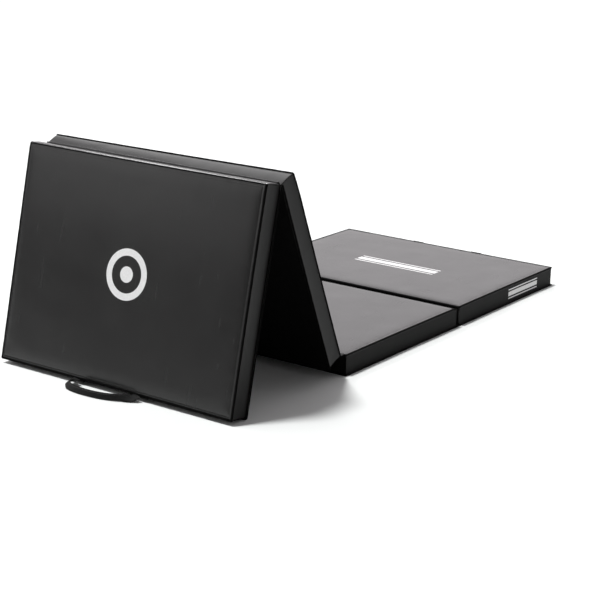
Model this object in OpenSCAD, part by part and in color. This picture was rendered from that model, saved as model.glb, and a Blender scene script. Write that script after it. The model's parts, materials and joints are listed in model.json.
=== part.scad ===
// Four-panel folding gym mat, standing half folded.
// Each panel is a foam board in a sewn cover: a top sheet, a base sheet, a side band between them,
// a sewn seam along both edges and a zip on the rear side, through which the board goes in.
// Panels 1 and 2 lean on each other as a tent, panels 3 and 4 lie flat on the floor.
// X runs along the mat, Y along the fold lines, Z up. The origin is at the bottom centre of the
// whole mat's box.

/* [Panels] */
// Length of one panel along the mat
panel_l = 442; // [420:2:480]
// Width of the mat between its side faces
panel_w = 596; // [500:2:650]
// Thickness of one panel
panel_t = 46; // [40:1:50]
// Corner radius of a panel seen from above
corner_r = 8; // [6:1:12]
// Thickness of the cover's coated fabric
skin = 1; // [0.8:0.1:1.4]

/* [Folds] */
// Gap between panels 1 and 2, joined along their undersides
gap_12 = 5; // [5:0.5:8]
// Gap between panels 2 and 3, joined along their top faces
gap_23 = 21; // [18:1:26]
// Gap between panels 3 and 4, joined along their undersides
gap_34 = 10; // [6:0.5:12]
// Angle between panel 2 and the floor
lean_2 = 66.7; // [62:0.1:67]

/* [Seams] */
// How far the top seam's ridge stands out from the side face
top_seam_out = 2; // [1.5:0.1:2.2]
// Height of the top seam's ridge
top_seam_h = 2.5; // [2:0.1:3]
// How far the base seam's flange stands out from the side face
base_seam_out = 4.5; // [4:0.1:5.5]
// Thickness of the base seam's flange
base_seam_h = 1.5; // [1.2:0.1:2]

/* [Zip] */
// Length of each zip
zip_l = 400; // [320:5:400]
// Width of the zip's tape
zip_w = 22; // [18:1:26]
// Width of the closed row of teeth
teeth_w = 6; // [5:0.5:7]
// Length of the slider
slider_l = 12; // [10:1:14]
// Length of the pull tab from its pin
pull_l = 24; // [18:1:28]
// Radius of the pin that the pull tab turns on
pin_r = 0.7; // [0.6:0.05:0.8]

/* [Handles] */
// Width of a handle between the outsides of its legs
handle_w = 172; // [150:2:190]
// How far a handle reaches out from its sewn line
handle_out = 36; // [32:1:40]
// Width of the handle's webbing
webbing_w = 20; // [18:1:22]
// Thickness of the handle's webbing
webbing_t = 2.4; // [2:0.1:3]
// Radius of the handle's corners, outside
handle_r = 26; // [20:1:30]
// Angle that the far handle hangs below the end face's normal
handle_droop = 45; // [40:1:45]

/* [Hook and loop] */
// Width of the hook strip and of the loop strip
strip_w = 20; // [16:1:22]
// Thickness of the hook strip and of the loop strip
strip_t = 1.6; // [1.2:0.1:1.6]

/* [Hidden] */
$fn = 48;
fabric = [0.13, 0.12, 0.13];
thread = [0.07, 0.07, 0.07];
foam = [0.83, 0.83, 0.80];
webbing = [0.05, 0.05, 0.05];
nylon = [0.08, 0.08, 0.09];
metal = [0.30, 0.30, 0.32];

// Clearance of each fold's axis from the face that it runs along, and of a fold's edges from it
clear = 0.2;
edge_clear = 0.3;

// Positions along the mat while it lies flat, with panel 3's near end at 0.
// The closed end of a panel is its free end or the end at the fold between panels 2 and 3.
closed_end = [-gap_23 - gap_12 - 2 * panel_l, -gap_23, 0, 2 * panel_l + gap_34];

// Fold axes while the mat lies flat, as x and z
axis_12 = [-gap_23 - panel_l - gap_12 / 2, -clear];
axis_23 = [-gap_23 + top_seam_out + edge_clear, panel_t + clear];
axis_34 = [panel_l + gap_34 / 2, -clear];

// Where fold 12 stands once panel 2 leans, and the lean that puts panel 1's foot on the floor
arm_x = axis_23[0] - axis_12[0];
arm_z = axis_23[1] - axis_12[1];
apex_x = axis_23[0] - arm_x * cos(lean_2) - arm_z * sin(lean_2);
apex_z = axis_23[1] + arm_x * sin(lean_2) - arm_z * cos(lean_2);
leg = gap_12 / 2 + panel_l + base_seam_out;
lean_1 = asin(apex_z / norm([leg, clear])) + atan(clear / leg);

// Handle: its sewn line lies off the end face and just under the top face
sewn_out = 2.6;
sewn_down = 1;
sewn_reach = gap_12 / 2 + panel_l + sewn_out;
sewn_height = clear + panel_t - sewn_down;
sewn_x = apex_x - sewn_reach * cos(lean_1) - sewn_height * sin(lean_1);
sewn_z = apex_z - sewn_reach * sin(lean_1) + sewn_height * cos(lean_1);
webbing_low = sewn_z;
webbing_high = webbing_w - webbing_low;
neck_out = 2.5;
neck_half = webbing_t / 2;
neck_end = 14;
patch_w = 30;
patch_h = 18;
patch_t = 1.4;

// Zip levels, outward from the rear side face
tape_t = 0.7;
teeth_t = 1.3;
teeth_top = tape_t + teeth_t;
rail_t = 1.1;
plate_low = teeth_top + edge_clear;
plate_high = plate_low + rail_t;
slider_half = teeth_w / 2 + edge_clear + rail_t;
pin_level = plate_high + 1.8;
eye_hole_r = pin_r + 0.08;
eye_r = 1.4;
pull_t = 1.2;
pull_w = 5.6;
ear_gap = 0.4;
zip_start = (panel_l - zip_l) / 2;
park = zip_start + 14;

// Shift that puts the origin at the bottom centre of the mat's box
droop_out = sewn_out + handle_out * cos(handle_droop) + webbing_high * sin(handle_droop);
low_x = sewn_x - handle_out;
high_x = closed_end[3] + droop_out;
zip_reach = pin_level + eye_r;
centre_x = (low_x + high_x) / 2;
centre_y = (zip_reach - base_seam_out) / 2;

// Turn about a line along Y
module about(axis, angle) {
    translate([axis[0], 0, axis[1]])
        rotate([0, angle, 0])
            translate([-axis[0], 0, -axis[1]])
                children();
}

// Fold the flat layout into the mat's resting pose, for what belongs to panel i
module folded(i) {
    translate([-centre_x, -centre_y, 0]) {
        if (i == 1)
            about(axis_23, lean_2) about(axis_12, -lean_2 - lean_1) children();
        else if (i == 2)
            about(axis_23, lean_2) children();
        else
            children();
    }
}

// A panel's own frame: X runs from its closed end to its other end
module on_panel(i) {
    folded(i)
        translate([closed_end[i - 1], 0, 0])
            mirror([i % 2 == 0 ? 1 : 0, 0, 0])
                children();
}

// Rounded rectangle from x0 to x1, centred on the X axis
module outline(x0, x1, w, r) {
    translate([x0 + r, -w / 2]) square([x1 - x0 - 2 * r, w]);
    translate([x0, -w / 2 + r]) square([x1 - x0, w - 2 * r]);
    for (x = [x0 + r, x1 - r], y = [-w / 2 + r, w / 2 - r])
        translate([x, y]) circle(r = r);
}

// The panel's outline, drawn in by inset
module panel_outline(inset = 0) {
    outline(inset, panel_l - inset, panel_w - 2 * inset, corner_r - inset);
}

// Bar on the rear side face: from x0 to x1, between two levels out from it and two heights
module rear_bar(x0, x1, level, top, low, high) {
    translate([x0, panel_w / 2 + level, low])
        cube([x1 - x0, top - level, high - low]);
}

module foam_core(i) {
    color(foam) on_panel(i)
        translate([0, 0, skin]) linear_extrude(panel_t - 2 * skin) panel_outline(skin);
}

module top_cover(i) {
    color(fabric) on_panel(i)
        translate([0, 0, panel_t - skin]) linear_extrude(skin) panel_outline();
}

module base_cover(i) {
    color(fabric) on_panel(i) linear_extrude(skin) panel_outline();
}

module side_band(i) {
    color(fabric) on_panel(i)
        translate([0, 0, skin]) linear_extrude(panel_t - 2 * skin)
            difference() {
                panel_outline();
                panel_outline(skin);
            }
}

// Ridge round the whole top edge
module top_seam(i) {
    color(thread) on_panel(i)
        translate([0, 0, panel_t - top_seam_h - 0.5]) linear_extrude(top_seam_h)
            difference() {
                panel_outline(-top_seam_out);
                panel_outline();
            }
}

// Flange round the bottom edge, left open at the end that a hinge strip joins
module base_seam(i) {
    color(thread) on_panel(i) linear_extrude(base_seam_h)
        intersection() {
            difference() {
                panel_outline(-base_seam_out);
                panel_outline();
            }
            translate([-base_seam_out, -panel_w])
                square([panel_l - corner_r + base_seam_out, 2 * panel_w]);
        }
}

module zip_tape(i) {
    color(nylon) on_panel(i)
        rear_bar(zip_start, zip_start + zip_l, 0, tape_t,
                 (panel_t - zip_w) / 2, (panel_t + zip_w) / 2);
}

module zip_teeth(i) {
    color(nylon) on_panel(i)
        rear_bar(zip_start + 2, zip_start + zip_l - 2, tape_t, teeth_top,
                 (panel_t - teeth_w) / 2, (panel_t + teeth_w) / 2);
}

// Slider: a plate over the teeth, a rail down each side of them, and two ears that hold the pin
module zip_slider(i) {
    mid = panel_t / 2;
    ear_in = pull_w / 2 + ear_gap;
    color(metal) on_panel(i) {
        rear_bar(park - slider_l / 2, park + slider_l / 2, plate_low, plate_high,
                 mid - slider_half, mid + slider_half);
        for (side = [-1, 1]) {
            rail_mid = mid + side * (slider_half - rail_t / 2);
            rear_bar(park - slider_l / 2, park + slider_l / 2, tape_t + edge_clear, plate_low,
                     rail_mid - rail_t / 2, rail_mid + rail_t / 2);
            ear_mid = mid + side * (ear_in + rail_t / 2);
            rear_bar(park - 2, park + 2, plate_high, pin_level + pin_r + 0.4,
                     ear_mid - rail_t / 2, ear_mid + rail_t / 2);
        }
        translate([park, panel_w / 2 + pin_level, mid - ear_in])
            cylinder(h = 2 * ear_in, r = pin_r);
    }
}

// Pull tab: an eye round the slider's pin and a flat tab towards the panel's closed end
module zip_pull(i) {
    color(metal) on_panel(i)
        translate([park, panel_w / 2 + pin_level, panel_t / 2])
            difference() {
                union() {
                    translate([0, 0, -pull_w / 2]) cylinder(h = pull_w, r = eye_r);
                    translate([-pull_l, -pull_t / 2, -pull_w / 2])
                        cube([pull_l, pull_t, pull_w]);
                }
                translate([0, 0, -pull_w]) cylinder(h = 2 * pull_w, r = eye_hole_r);
                translate([-pull_l + 2, -pull_t, -1.2]) cube([8, 2 * pull_t, 2.4]);
            }
}

// Flat strip between two panels' ends, joined to one and clear of the other
module fold_strip(x0, x1, z0) {
    translate([x0, -panel_w / 2 + corner_r, z0])
        cube([x1 - x0, panel_w - 2 * corner_r, skin]);
}

module hinge_strip_12() {
    color(fabric) folded(2)
        fold_strip(-gap_23 - panel_l - gap_12 + edge_clear, -gap_23 - panel_l, 0);
}

module hinge_strip_23() {
    color(fabric) folded(3)
        fold_strip(axis_23[0] + edge_clear, -top_seam_out, panel_t - skin - 0.5);
}

module hinge_strip_34() {
    color(fabric) folded(3) fold_strip(panel_l, panel_l + gap_34 - edge_clear, 0);
}

// Webbing loop in its own frame: X runs out from the sewn line, Z is the webbing's width,
// and its legs narrow where they are sewn
module webbing_loop() {
    intersection() {
        translate([0, 0, -webbing_low]) linear_extrude(webbing_w)
            difference() {
                outline(-3 * handle_r, handle_out, handle_w, handle_r);
                outline(-4 * handle_r, handle_out - webbing_t, handle_w - 2 * webbing_t,
                        handle_r - webbing_t);
            }
        rotate([90, 0, 0]) linear_extrude(2 * handle_w, center = true)
            polygon([
                [neck_out, -neck_half], [neck_end, -webbing_low], [handle_out, -webbing_low],
                [handle_out, webbing_high], [neck_end, webbing_high], [neck_out, neck_half]
            ]);
    }
}

// The loop sewn to panel i, turned up by angle from the end face's normal
module handle_strap(i, angle) {
    color(webbing) on_panel(i)
        translate([-sewn_out, 0, panel_t - sewn_down])
            rotate([0, angle, 0]) mirror([1, 0, 0]) webbing_loop();
}

// The webbing's two sewn ends, flat on the end face
module handle_patch(i) {
    color(webbing) on_panel(i)
        for (side = [-1, 1])
            translate([-patch_t, side * (handle_w - webbing_t) / 2 - patch_w / 2,
                       panel_t - 4 - patch_h])
                cube([patch_t, patch_w, patch_h]);
}

// Hook or loop strip along the end face, in three lengths that leave room for the handle's ends
module end_strip(i) {
    far = panel_w / 2 - corner_r;
    leg_y = (handle_w - webbing_t) / 2;
    part_gap = patch_w / 2 + 5;
    color(nylon) on_panel(i)
        for (span = [[-far, -leg_y - part_gap], [-leg_y + part_gap, leg_y - part_gap],
                     [leg_y + part_gap, far]])
            translate([-strip_t, span[0], panel_t - 4 - strip_w])
                cube([strip_t, span[1] - span[0], strip_w]);
}

for (i = [1:4]) {
    foam_core(i);
    top_cover(i);
    side_band(i);
    base_cover(i);
    top_seam(i);
    base_seam(i);
    zip_tape(i);
    zip_teeth(i);
    zip_slider(i);
    zip_pull(i);
}
hinge_strip_12();
hinge_strip_23();
hinge_strip_34();
handle_strap(1, lean_1);  // handle_strap_1
handle_strap(4, -handle_droop);  // handle_strap_4
handle_patch(1);  // handle_patch_1
handle_patch(4);  // handle_patch_4
end_strip(1);  // loop_strip
end_strip(4);  // hook_strip
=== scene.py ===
"""Folding gym mat: panels 1 and 2 lean as a tent, panels 3 and 4 lie flat on the floor."""
import json
import math

import bpy
import numpy as np
from mathutils import Matrix, Vector, noise


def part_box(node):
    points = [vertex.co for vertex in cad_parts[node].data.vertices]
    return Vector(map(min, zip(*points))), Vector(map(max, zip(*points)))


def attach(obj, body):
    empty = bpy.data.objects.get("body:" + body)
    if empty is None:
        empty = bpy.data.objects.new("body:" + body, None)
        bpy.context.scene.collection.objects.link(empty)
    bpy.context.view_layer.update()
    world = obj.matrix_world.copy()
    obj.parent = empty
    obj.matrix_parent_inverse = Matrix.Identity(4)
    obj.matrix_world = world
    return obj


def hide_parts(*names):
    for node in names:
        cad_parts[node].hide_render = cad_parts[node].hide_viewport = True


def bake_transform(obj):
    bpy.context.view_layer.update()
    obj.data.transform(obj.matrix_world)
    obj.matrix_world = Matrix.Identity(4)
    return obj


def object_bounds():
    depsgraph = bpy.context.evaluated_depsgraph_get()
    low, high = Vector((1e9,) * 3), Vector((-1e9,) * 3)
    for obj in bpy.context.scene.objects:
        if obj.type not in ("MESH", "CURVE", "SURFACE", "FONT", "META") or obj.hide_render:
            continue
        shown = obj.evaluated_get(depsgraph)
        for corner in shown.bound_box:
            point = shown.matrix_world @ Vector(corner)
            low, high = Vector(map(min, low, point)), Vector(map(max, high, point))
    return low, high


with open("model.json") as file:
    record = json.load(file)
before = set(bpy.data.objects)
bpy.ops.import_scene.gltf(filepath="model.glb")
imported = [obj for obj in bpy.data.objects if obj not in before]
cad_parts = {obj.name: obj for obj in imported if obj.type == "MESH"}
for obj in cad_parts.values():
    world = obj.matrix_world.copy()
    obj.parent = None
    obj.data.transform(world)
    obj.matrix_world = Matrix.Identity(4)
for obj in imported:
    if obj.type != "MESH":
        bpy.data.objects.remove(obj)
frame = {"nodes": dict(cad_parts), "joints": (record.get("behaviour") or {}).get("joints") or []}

cad_lo, cad_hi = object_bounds()
JOINTS = {joint["name"]: joint for joint in frame["joints"]}
MM = 0.001
PANELS = (1, 2, 3, 4)
MIRRORED = (2, 4)


# ---------------------------------------------------------------- frame

def turn(name, degrees):
    """Rotation about a joint's axis, where the axis stands at rest."""
    joint = JOINTS[name]
    pos = Matrix.Translation(Vector(joint["pos_m"]))
    return pos @ Matrix.Rotation(math.radians(degrees), 4, Vector(joint["axis"])) @ pos.inverted()


# What takes each panel from the mat laid flat to the resting pose
raise_2 = turn("fold_23", -JOINTS["fold_23"]["range_deg"][0])
raise_1 = turn("fold_12", -JOINTS["fold_12"]["range_deg"][0]) @ raise_2
FOLDED = {1: raise_1, 2: raise_2, 3: Matrix.Identity(4), 4: Matrix.Identity(4)}


def box_after(node, matrix):
    """A CAD node's lowest and highest corner after a move."""
    points = [matrix @ v.co for v in frame["nodes"][node].data.vertices]
    return Vector(map(min, zip(*points))), Vector(map(max, zip(*points)))


def panel_matrix(i):
    """Panel i's own frame: X from its closed end, Y across, Z up from its base."""
    lo, hi = box_after(f"top_cover_{i}", FOLDED[i].inverted())
    closed_x = hi.x if i in MIRRORED else lo.x
    flip = Matrix.Diagonal((-1 if i in MIRRORED else 1, 1, 1, 1))
    return FOLDED[i] @ Matrix.Translation((closed_x, (lo.y + hi.y) / 2, 0)) @ flip


PANEL = {i: panel_matrix(i) for i in PANELS}


def local_box(node, i):
    """A CAD node's box in panel i's own frame."""
    return box_after(node, PANEL[i].inverted())


cover_lo, cover_hi = local_box("top_cover_3", 3)
LENGTH, WIDTH, THICK = cover_hi.x, cover_hi.y - cover_lo.y, cover_hi.z
HALF_W = WIDTH / 2
ridge_lo, ridge_hi = local_box("top_seam_3", 3)
flange_hi = local_box("base_seam_3", 3)[1]
RIDGE_OUT = ridge_hi.y - HALF_W
FLANGE_OUT = flange_hi.y - HALF_W
tape_lo, tape_hi = local_box("zip_tape_3", 3)
teeth_lo, teeth_hi = local_box("zip_teeth_3", 3)

CORNER = 1.5 * MM
# How far the two upper fold strips stop short of the panels' corners
STRIP_INSET = 4 * MM
CLOTH = 0.9 * MM
PULL = 0.8 * MM
TOP_LEVEL = THICK - 1.0 * MM
RIM_DROP = 0.5 * MM
RIM_REACH = 5 * MM
GROOVE_AT = 6.5 * MM
GROOVE_DEEP = 0.3 * MM
CROWN_CAP = 0.9 * MM
# How far the top edge sinks at a panel's open end, at its front and rear corner, and over what length
SINK = {1: (1.5 * MM, 1.5 * MM, 12 * MM), 2: (3 * MM, 9 * MM, 70 * MM),
        3: (5 * MM, 4 * MM, 22 * MM), 4: (1.2 * MM, 1.2 * MM, 10 * MM)}
# How far the upper edge of panel 1's standing end gives towards the floor
STAND = 4 * MM
# How far each open end's face swells
SWELL = {1: 3.0 * MM, 2: 1.3 * MM, 3: 0.8 * MM, 4: 0.8 * MM}


# ---------------------------------------------------------------- materials

def node(tree, kind, inputs, **settings):
    """A shader node with its settings, and its inputs given as values or as sockets to link."""
    made = tree.nodes.new("ShaderNode" + kind)
    for key, value in settings.items():
        setattr(made, key, value)
    for key, value in inputs.items():
        if isinstance(value, bpy.types.NodeSocket):
            tree.links.new(value, made.inputs[key])
        else:
            made.inputs[key].default_value = value
    return made


def placed(tree, operation, *vectors):
    return node(tree, "VectorMath", dict(enumerate(vectors)), operation=operation)


def maths(tree, operation, *values):
    return node(tree, "Math", dict(enumerate(values)), operation=operation).outputs[0]


def blotches(tree, where, scale, detail=3.0):
    inputs = {"Vector": where, "Scale": scale, "Detail": detail}
    return node(tree, "TexNoise", inputs).outputs["Fac"]


def cells(tree, where, scale, feature="F1"):
    return node(tree, "TexVoronoi", {"Vector": where, "Scale": scale}, feature=feature).outputs["Distance"]


def between(tree, factor, low, high, start=0.3, stop=0.7, curve="LINEAR"):
    """Maps a pattern from start..stop to low..high."""
    inputs = {"Value": factor, "From Min": start, "From Max": stop, "To Min": low, "To Max": high}
    return node(tree, "MapRange", inputs, interpolation_type=curve).outputs["Result"]


def mixed(tree, factor, a, b):
    """Colour a where the factor is 0 and b where it is 1."""
    return node(tree, "Mix", {0: factor, 6: a, 7: b}, data_type="RGBA").outputs[2]


def raised(tree, height, distance, strength=1.0, under=None):
    """Bump from a pattern's height, over another bump."""
    inputs = {"Height": height, "Distance": distance, "Strength": strength}
    if under is not None:
        inputs["Normal"] = under
    return node(tree, "Bump", inputs).outputs["Normal"]


def grey(value, warm=0.0):
    return (value * (1 + warm), value, value * (1 - warm), 1)


def finish(name, **uniform):
    """A material, its tree, its shader and the place on the flat cloth that its patterns use."""
    material = bpy.data.materials.new(name)
    material.use_nodes = True
    tree = material.node_tree
    shader = tree.nodes["Principled BSDF"]
    for key, value in uniform.items():
        shader.inputs[key.replace("_", " ")].default_value = value
    where = node(tree, "Attribute", {}, attribute_name="flat_co").outputs["Vector"]
    return material, tree, shader, where


def give(tree, shader, **links):
    for key, socket in links.items():
        tree.links.new(socket, shader.inputs[key.replace("_", " ")])


def ring_print(tree, where, axes):
    """A plain ring round a disc in the middle of a panel's top."""
    offset = placed(tree, "SUBTRACT", where, (LENGTH / 2, 0, THICK)).outputs[0]
    flat = placed(tree, "MULTIPLY", offset, (1, 1, 0)).outputs[0]
    out = placed(tree, "LENGTH", flat).outputs["Value"]
    ring = maths(tree, "COMPARE", out, 44 * MM, 7 * MM)
    disc = maths(tree, "COMPARE", out, 0.0, 16 * MM)
    return maths(tree, "MAXIMUM", ring, disc)


def stripe_print(tree, across, along, middle, half, length):
    """A broad stripe between two thin ones."""
    off = maths(tree, "SUBTRACT", across, middle[0])
    run = maths(tree, "SUBTRACT", along, middle[1])
    inside = maths(tree, "COMPARE", run, 0.0, length / 2)
    lines = maths(tree, "COMPARE", maths(tree, "ABSOLUTE", off), half * 0.88, half * 0.12)
    broad = maths(tree, "COMPARE", off, 0.0, half * 0.45)
    return maths(tree, "MULTIPLY", inside, maths(tree, "MAXIMUM", lines, broad))


def vinyl(name, shade, shine, rough, mark=None):
    """Coated fabric: fine pebble grain, soft waves, scuffs, and an ink mark where one is asked for."""
    material, tree, shader, where = finish(name, Specular_IOR_Level=shine, IOR=1.5)
    cloud = blotches(tree, where, 7.0, 4.0)
    colour = mixed(tree, between(tree, cloud, 0, 1), grey(shade * 0.85, 0.02), grey(shade * 1.2, 0.03))
    streak_at = placed(tree, "MULTIPLY", where, (9, 70, 40)).outputs[0]
    scuff = between(tree, blotches(tree, streak_at, 1.0, 6.0), 0, 1, 0.62, 0.8)
    colour = mixed(tree, maths(tree, "MULTIPLY", scuff, 0.2), colour, grey(shade * 3, 0.03))
    gloss = between(tree, blotches(tree, where, 15.0, 5.0), rough - 0.015, rough + 0.02)
    gloss = maths(tree, "ADD", gloss, maths(tree, "MULTIPLY", scuff, 0.05))
    if mark is not None:
        axes = node(tree, "SeparateXYZ", {0: where}).outputs
        ink = mark(tree, where, axes)
        worn = between(tree, blotches(tree, where, 260.0, 3.0), 0.9, 1.0)
        colour = mixed(tree, maths(tree, "MULTIPLY", ink, worn), colour, grey(0.82))
        gloss = maths(tree, "ADD", gloss, maths(tree, "MULTIPLY", ink, 0.12))
    grain = raised(tree, cells(tree, where, 620.0, "SMOOTH_F1"), 0.07 * MM, 0.5)
    weave = blotches(tree, where, 240.0, 2.0)
    grain = raised(tree, weave, 0.10 * MM, 0.4, grain)
    waves = raised(tree, blotches(tree, where, 11.0, 2.0), 0.8 * MM, 0.25, grain)
    give(tree, shader, Base_Color=colour, Roughness=gloss, Normal=waves)
    return material


def mark_panel_4(tree, where, axes):
    """Stripes across the middle of the top, a little nearer the open end."""
    return stripe_print(tree, axes[0], axes[1], (LENGTH / 2 + 11 * MM, 0), 22 * MM, 222 * MM)


def mark_side_4(tree, where, axes):
    """The same stripes on the front side face, between two heights."""
    front = maths(tree, "LESS_THAN", axes[1], -HALF_W + 3 * MM)
    stripes = stripe_print(tree, axes[2], axes[0], (THICK / 2 - MM, 141 * MM), 12 * MM, 140 * MM)
    return maths(tree, "MULTIPLY", front, stripes)


def base_cloth_and_painted_shade():
    """Dull underside cloth with small pressed dimples. Its near-black colour is partly the cloth's own and
    partly painted shade for the inside of the tent.
    """
    material, tree, shader, where = finish("base_cloth_and_painted_shade", Specular_IOR_Level=0.05, Roughness=0.7)
    shade = between(tree, blotches(tree, where, 12.0, 4.0), 0, 1)
    # Near black: partly the cloth's own colour, partly painted shade inside the tent
    colour = mixed(tree, shade, grey(0.0008), grey(0.0016))
    pressed = between(tree, cells(tree, where, 210.0), 0, 1, 0.1, 0.45)
    dimples = raised(tree, pressed, 0.3 * MM, 0.6)
    fine = raised(tree, blotches(tree, where, 900.0), 0.08 * MM, 0.5, dimples)
    give(tree, shader, Base_Color=colour, Normal=fine)
    return material


def seam_cloth_and_painted_shade():
    """Folded edge of the cover where it is sewn, with the weave of its backing. Its near-black colour is
    partly the seam's own dark colour and partly painted shade, the shadow lines along the seams.
    """
    material, tree, shader, where = finish("seam_cloth_and_painted_shade", Specular_IOR_Level=0.03)
    shade = between(tree, blotches(tree, where, 60.0, 4.0), 0, 1)
    # Near black: partly the seam's own colour, partly painted shade along the seam lines
    colour = mixed(tree, shade, grey(0.001), grey(0.003, 0.03))
    rough = between(tree, blotches(tree, where, 90.0), 0.5, 0.7)
    give(tree, shader, Base_Color=colour, Roughness=rough,
         Normal=raised(tree, blotches(tree, where, 700.0), 0.12 * MM, 0.7))
    return material


def edge_vinyl():
    """The cover's folded edge along the top seam, polished by handling."""
    material, tree, shader, where = finish("edge_vinyl", Specular_IOR_Level=1.0, IOR=1.5, Coat_Weight=1.0,
                                           Coat_IOR=1.7, Coat_Roughness=0.14)
    tone = between(tree, blotches(tree, where, 60.0, 4.0), 0, 1)
    give(tree, shader, Base_Color=mixed(tree, tone, grey(0.0012), grey(0.003, 0.03)),
         Roughness=between(tree, blotches(tree, where, 120.0), 0.18, 0.34),
         Normal=raised(tree, blotches(tree, where, 300.0), 0.08 * MM, 0.5))
    return material


def thread(name, shade):
    """Twisted sewing thread, lighter on the crests of its twist and darker in the grooves: painted
    highlight and shade.
    """
    material, tree, shader, where = finish(name, Specular_IOR_Level=0.3, Roughness=0.55, Sheen_Weight=0.2)
    twist = node(tree, "TexWave", {"Vector": where, "Scale": 420.0, "Distortion": 1.5},
                 bands_direction="DIAGONAL").outputs["Fac"]
    # Colour follows the twist's height: painted highlight on the crests, painted shade in the grooves
    give(tree, shader, Base_Color=mixed(tree, twist, grey(shade * 0.7), grey(shade * 1.4)),
         Normal=raised(tree, twist, 0.1 * MM, 0.6))
    return material


def foam():
    """Pale foam with open cells."""
    material, tree, shader, where = finish("foam", Specular_IOR_Level=0.1, Roughness=0.95)
    shade = between(tree, blotches(tree, where, 30.0), 0, 1)
    give(tree, shader, Base_Color=mixed(tree, shade, (0.62, 0.61, 0.55, 1), (0.74, 0.73, 0.68, 1)),
         Normal=raised(tree, cells(tree, where, 380.0), 0.6 * MM, 0.8))
    return material


def woven(name, shade, rough, thread_pitch, sheen):
    """Webbing or tape: a plain weave whose ribs cross the run, in the piece's own length and width. Its
    colour is lighter on the raised ribs and darker between them: painted highlight and shade.
    """
    material, tree, shader, where = finish(name, Specular_IOR_Level=0.2, Sheen_Weight=sheen,
                                           Sheen_Roughness=0.4)
    axes = node(tree, "SeparateXYZ", {0: where}).outputs
    turns = 2 * math.pi / thread_pitch
    over = maths(tree, "SINE", maths(tree, "MULTIPLY", axes[0], turns))
    across = maths(tree, "SINE", maths(tree, "MULTIPLY", axes[1], turns * 0.8))
    height = between(tree, maths(tree, "MULTIPLY", over, across), 0, 1, -1, 1)
    fuzz = blotches(tree, where, 800.0, 4.0)
    # Lighter on the raised ribs, darker between them: painted highlight and shade
    tone = maths(tree, "MULTIPLY", height, between(tree, fuzz, 0.6, 1.1))
    colour = mixed(tree, tone, grey(shade * 0.45), grey(shade * 1.6, 0.02))
    normal = raised(tree, fuzz, 0.1 * MM, 0.4, raised(tree, height, 0.35 * MM, 0.9))
    spread = between(tree, fuzz, rough - 0.08, rough + 0.08)
    give(tree, shader, Base_Color=colour, Roughness=spread, Normal=normal)
    return material


def nylon(name, shade):
    """Moulded nylon of zip teeth, hooks and loops."""
    material, tree, shader, where = finish(name, Specular_IOR_Level=0.45)
    speck = blotches(tree, where, 500.0)
    give(tree, shader, Base_Color=mixed(tree, speck, grey(shade * 0.7), grey(shade * 1.3)),
         Roughness=between(tree, speck, 0.3, 0.48), Normal=raised(tree, speck, 0.05 * MM, 0.4))
    return material


def painted_metal():
    """Black-nickel zip slider, polished bright where it is handled."""
    material, tree, shader, _ = finish("painted_metal", Metallic=1.0)
    place = node(tree, "TexCoord", {}).outputs["Object"]
    worn = between(tree, blotches(tree, place, 420.0, 5.0), 0, 1, 0.5, 0.72)
    colour = mixed(tree, worn, grey(0.10, 0.02), grey(0.42, 0.03))
    give(tree, shader, Base_Color=colour, Roughness=between(tree, worn, 0.36, 0.2, 0, 1),
         Normal=raised(tree, blotches(tree, place, 1500.0), 0.02 * MM, 0.5))
    return material


COVER_SHADE = 0.005
LOOK = {
    "top_plain": vinyl("cover_top", COVER_SHADE, 0.5, 0.25),
    "top_ring": vinyl("cover_top_ring", COVER_SHADE, 0.5, 0.25, ring_print),
    "top_stripes": vinyl("cover_top_stripes", COVER_SHADE, 0.5, 0.25, mark_panel_4),
    "side_plain": vinyl("cover_side", COVER_SHADE * 0.8, 0.2, 0.5),
    # The next two looks are darker, duller copies of the side vinyl: painted shade, the second with panel
    # 4's print
    "side_painted_shade": vinyl("cover_side_painted_shade", COVER_SHADE * 0.6, 0.08, 0.5),
    "side_stripes": vinyl("cover_side_stripes_painted_shade", COVER_SHADE * 0.6, 0.08, 0.5, mark_side_4),
    "base": base_cloth_and_painted_shade(),
    "seam": seam_cloth_and_painted_shade(),
    "edge": edge_vinyl(),
    "thread": thread("seam_thread", 0.035),
    "handle_thread": thread("handle_thread", 0.09),
    "foam": foam(),
    "webbing": woven("webbing", 0.004, 0.65, 2.2 * MM, 0.03),
    "zip_tape": woven("zip_tape", 0.008, 0.7, 0.9 * MM, 0.05),
    "strip_tape": woven("strip_tape", 0.007, 0.7, 0.8 * MM, 0.05),
    "teeth": nylon("zip_nylon", 0.02),
    "pile": nylon("pile_nylon", 0.014),
    "metal": painted_metal(),
}


# ---------------------------------------------------------------- mesh helpers

def flat_place(mesh, places):
    """Stores where each point lies on the flat cloth, for the materials' patterns."""
    attribute = mesh.attributes.new("flat_co", "FLOAT_VECTOR", "POINT")
    attribute.data.foreach_set("vector", np.asarray(places, np.float32).ravel())


def new_piece(name, points, faces, look, places=None):
    """A smooth mesh object; the patterns follow places, or the points themselves."""
    mesh = bpy.data.meshes.new(name)
    mesh.from_pydata([tuple(p) for p in points], [], faces)
    flat_place(mesh, points if places is None else places)
    mesh.polygons.foreach_set("use_smooth", [True] * len(mesh.polygons))
    mesh.materials.append(LOOK[look])
    piece = bpy.data.objects.new(name, mesh)
    bpy.context.scene.collection.objects.link(piece)
    return piece


def put_on(piece, matrix, body):
    """Moves a piece's mesh from its own frame to its place and rides it on a body."""
    piece.data.transform(matrix)
    if matrix.determinant() < 0:
        piece.data.flip_normals()
    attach(piece, body)


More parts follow.
